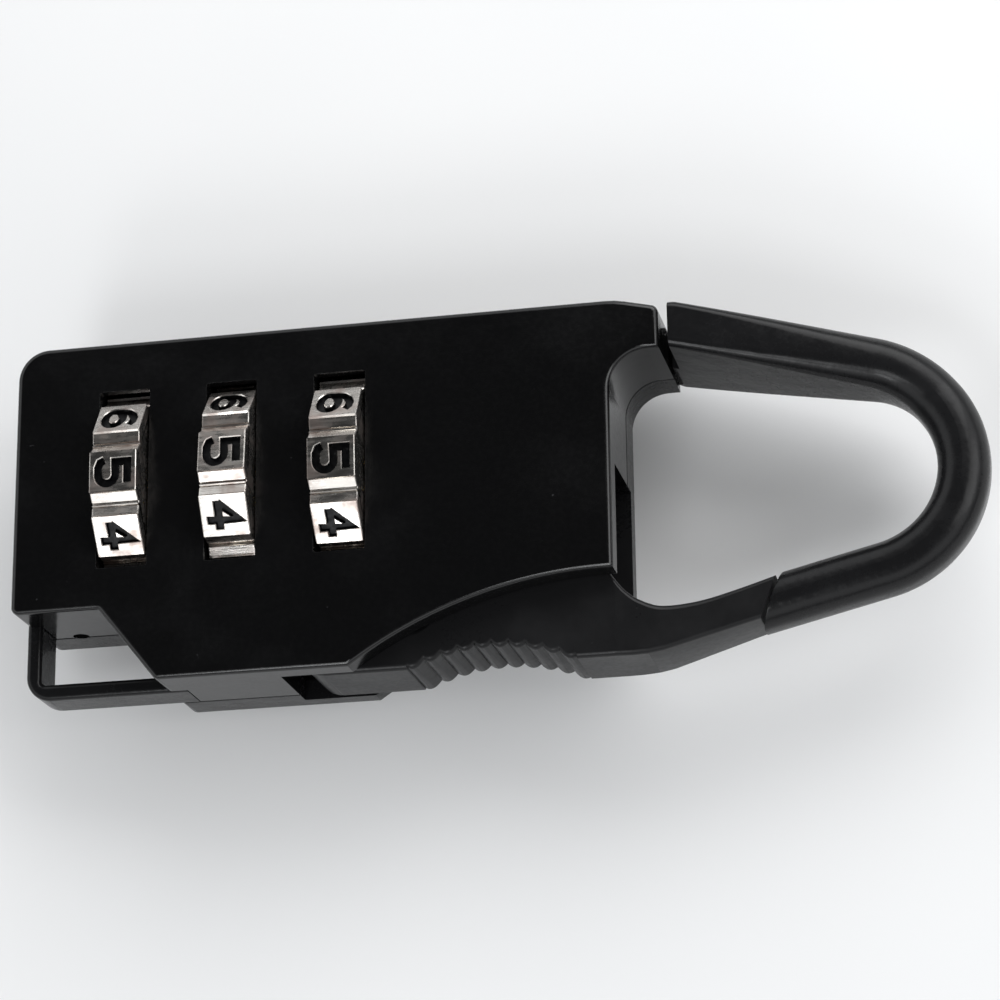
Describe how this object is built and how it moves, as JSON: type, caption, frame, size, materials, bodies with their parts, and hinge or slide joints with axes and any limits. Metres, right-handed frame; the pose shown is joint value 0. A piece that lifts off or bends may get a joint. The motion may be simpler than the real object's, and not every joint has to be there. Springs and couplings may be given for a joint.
{
  "type": "luggage combination padlock",
  "caption": "Flat black combination padlock with number wheels, a snap hook closed by a ribbed spring gate, and a cord eyelet.",
  "frame": {"origin": "centre of the footprint, at the level of the lowest points of the number wheels", "axes": "+X from the eyelet end to the bend of the hook, +Y across the body away from the gate, +Z out of the front cover"},
  "size_m": [0.0756, 0.0276, 0.0165],
  "materials": {
    "black_gloss": "glossy black paint on die-cast zinc",
    "black_satin": "satin black paint on die-cast zinc",
    "wheel_chrome": "chrome plated, slightly worn, black filled numbers",
    "steel": "turned steel",
    "spring_steel": "bright spring steel",
    "zinc": "bare die-cast zinc",
    "brass": "turned brass"
  },
  "bodies": {
    "housing": {"back_casting": "black_satin", "front_cover": "black_gloss", "gate_pivot_pin": "steel", "gate_spring": "spring_steel", "spindle_spring": "spring_steel", "detent_spring": "spring_steel", "detent_rivet_1": "steel", "detent_rivet_2": "steel", "cover_rivet_1": "steel", "cover_rivet_2": "steel", "cover_rivet_3": "steel"},
    "gate": {"gate_lever": "black_satin"},
    "fence": {"fence_bar": "zinc", "fence_pin": "steel"},
    "spindle_set": {"spindle": "steel", "spindle_clip": "spring_steel"},
    "reset": {"reset_slider": "zinc"},
    "wheel_1": {"number_wheel_1": "wheel_chrome"},
    "sleeve_1": {"code_sleeve_1": "brass"},
    "wheel_2": {"number_wheel_2": "wheel_chrome"},
    "sleeve_2": {"code_sleeve_2": "brass"},
    "wheel_3": {"number_wheel_3": "wheel_chrome"},
    "sleeve_3": {"code_sleeve_3": "brass"}
  },
  "joints": [
    {"name": "gate_swing", "type": "hinge", "parent": "housing", "child": "gate", "pos_m": [-0.01333, -0.01202, 0.00825], "axis": [0, 0, -1], "range_deg": [-18, 0], "stiffness_Nm_per_rad": 0.03, "springref_deg": 11.46, "deforming": ["gate_spring"]},
    {"name": "fence_slide", "type": "slide", "parent": "housing", "child": "fence", "axis": [0, 1, 0], "range_m": [0, 0.00186]},
    {"name": "reset_push", "type": "slide", "parent": "housing", "child": "reset", "axis": [0, 1, 0], "range_m": [0, 0.0014], "stiffness_N_per_m": 60, "springref_m": -0.002},
    {"name": "spindle_shift", "type": "slide", "parent": "housing", "child": "spindle_set", "axis": [1, 0, 0], "range_m": [0, 0.0014], "deforming": ["spindle_spring"]},
    {"name": "wheel_1_spin", "type": "hinge", "parent": "housing", "child": "wheel_1", "pos_m": [-0.02888, 0.00248, 0.00825], "axis": [1, 0, 0], "continuous": true},
    {"name": "wheel_2_spin", "type": "hinge", "parent": "housing", "child": "wheel_2", "pos_m": [-0.02018, 0.00248, 0.00825], "axis": [1, 0, 0], "continuous": true},
    {"name": "wheel_3_spin", "type": "hinge", "parent": "housing", "child": "wheel_3", "pos_m": [-0.01148, 0.00248, 0.00825], "axis": [1, 0, 0], "continuous": true},
    {"name": "sleeve_1_turn", "type": "hinge", "parent": "spindle_set", "child": "sleeve_1", "pos_m": [-0.02788, 0.00248, 0.00825], "axis": [1, 0, 0], "continuous": true},
    {"name": "sleeve_2_turn", "type": "hinge", "parent": "spindle_set", "child": "sleeve_2", "pos_m": [-0.01918, 0.00248, 0.00825], "axis": [1, 0, 0], "continuous": true},
    {"name": "sleeve_3_turn", "type": "hinge", "parent": "spindle_set", "child": "sleeve_3", "pos_m": [-0.01048, 0.00248, 0.00825], "axis": [1, 0, 0], "continuous": true}
  ],
  "couplings": [
    {"joint": "fence_slide", "follows": "gate_swing", "m_per_rad": -0.0058569},
    {"joint": "spindle_shift", "follows": "reset_push", "ratio": 1},
    {"joint": "sleeve_1_turn", "follows": "wheel_1_spin", "ratio": 1},
    {"joint": "sleeve_2_turn", "follows": "wheel_2_spin", "ratio": 1},
    {"joint": "sleeve_3_turn", "follows": "wheel_3_spin", "ratio": 1}
  ]
}
